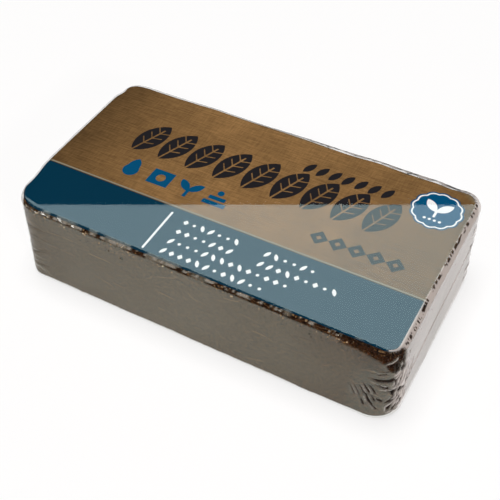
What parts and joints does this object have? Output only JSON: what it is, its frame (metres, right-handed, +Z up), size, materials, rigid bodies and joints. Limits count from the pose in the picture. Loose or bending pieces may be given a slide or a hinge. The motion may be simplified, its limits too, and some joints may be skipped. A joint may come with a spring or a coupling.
{
  "type": "coconut coir brick",
  "caption": "Pressed coconut coir brick with a printed card on top, sealed in clear shrink film; swells to loose potting fibre in water.",
  "frame": {"origin": "middle of the underside of the wrapped brick", "axes": "+Z up out of the printed top face, +X along the length to the right end, -Y out of the front long side, beside the blue band"},
  "size_m": [0.2, 0.105, 0.05],
  "materials": {
    "coir": "matt pressed coconut pith and short fibre, crumbly at the edges",
    "kraft_card": "uncoated kraft card with a deep blue printed band",
    "clear_film": "clear glossy shrink film"
  },
  "bodies": {
    "root": {"coir_block": "coir", "label_card": "kraft_card", "shrink_film": "clear_film"}
  },
  "joints": []
}
